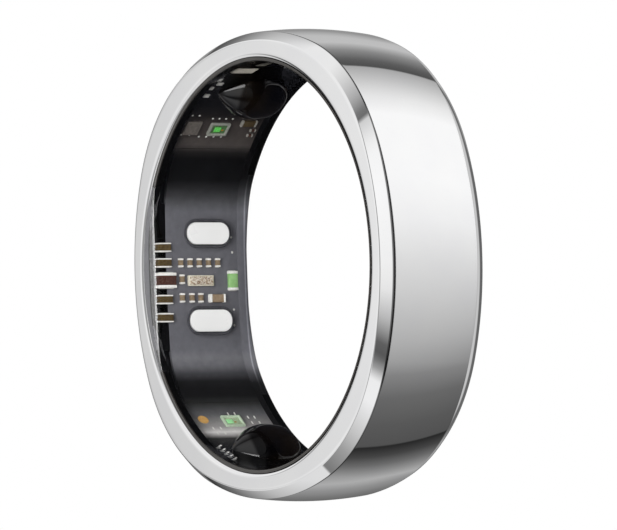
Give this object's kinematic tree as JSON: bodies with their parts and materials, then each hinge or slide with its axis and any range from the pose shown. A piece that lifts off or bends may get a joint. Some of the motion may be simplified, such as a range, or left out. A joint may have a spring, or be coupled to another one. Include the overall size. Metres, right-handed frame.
{
  "type": "smart ring",
  "caption": "Polished metal finger ring with a clear dark resin lining, a flat inner platform with charging contacts, and sensor domes that stand in from the bore.",
  "frame": {"origin": "centre of the finger bore, at the middle of the band's width", "axes": "+Y along the finger, from the front face to the rear face; -X towards the flat platform with the charging contacts; +Z towards the upper sensor dome"},
  "size_m": [0.0264, 0.0068, 0.0264],
  "materials": {
    "band_metal": "polished silver metal",
    "clear_resin": "glossy clear resin with a dark tint",
    "dome_resin": "glossy dark resin",
    "contact_metal": "satin pale plating",
    "seal_rubber": "black moulded seal",
    "gold_plating": "gold plating",
    "board_mask": "dark grey solder mask",
    "rail_black": "black",
    "chip_plastic": "black moulded plastic",
    "crystal_ceramic": "cream with a gold speckle",
    "antenna_ceramic": "pale green with white ends",
    "capacitor_ceramic": "brown with plated ends",
    "bulk_ceramic": "grey-brown with plated ends",
    "edge_ceramic": "dark brown with plated ends",
    "inductor_ferrite": "red-brown with plated ends",
    "flex_film": "black film",
    "photodiode_silicon": "dark blue window",
    "light_ceramic": "white",
    "light_die": "pale green",
    "sensor_chip": "grey",
    "resistor_ceramic": "brown",
    "lid_metal": "satin lid",
    "passive_ends": "bright plating",
    "solder": "bright solder",
    "battery_foil": "satin pouch foil",
    "adhesive": "pale tape",
    "insulating_film": "amber film",
    "tab_metal": "bright strip",
    "board_green": "green solder mask"
  },
  "bodies": {
    "root": {"outer_shell": "band_metal", "inner_liner": "clear_resin", "upper_sensor_dome": "dome_resin", "lower_sensor_dome": "dome_resin", "upper_contact_pad": "contact_metal", "lower_contact_pad": "contact_metal", "upper_contact_seal": "seal_rubber", "lower_contact_seal": "seal_rubber", "contact_posts": "gold_plating", "main_board": "board_mask", "front_rail": "rail_black", "system_chip": "chip_plastic", "memory_chip": "chip_plastic", "power_chip": "chip_plastic", "crystal_package": "crystal_ceramic", "chip_antenna": "antenna_ceramic", "upper_capacitor_row": "capacitor_ceramic", "lower_capacitor_row": "capacitor_ceramic", "single_capacitor": "capacitor_ceramic", "bulk_capacitor": "bulk_ceramic", "edge_capacitors": "edge_ceramic", "edge_inductor": "inductor_ferrite", "test_points": "gold_plating", "upper_flex": "flex_film", "lower_flex": "flex_film", "upper_sensor_board": "board_mask", "lower_sensor_board": "board_mask", "upper_photodiode": "photodiode_silicon", "lower_photodiode": "photodiode_silicon", "upper_led_package": "light_ceramic", "lower_led_package": "light_ceramic", "upper_led_die": "light_die", "lower_led_die": "light_die", "front_end_chip": "sensor_chip", "sensor_capacitor": "capacitor_ceramic", "sensor_resistors": "resistor_ceramic", "motion_sensor": "lid_metal", "edge_passives": "passive_ends", "upper_solder_joints": "solder", "lower_solder_joints": "solder", "temperature_pad": "gold_plating", "connector_fingers": "solder", "battery_cell": "battery_foil", "battery_adhesive": "adhesive", "battery_film": "insulating_film", "battery_seal": "battery_foil", "battery_tab_positive": "tab_metal", "battery_tab_negative": "tab_metal", "protection_board": "board_green", "protection_chip": "chip_plastic"}
  },
  "joints": []
}
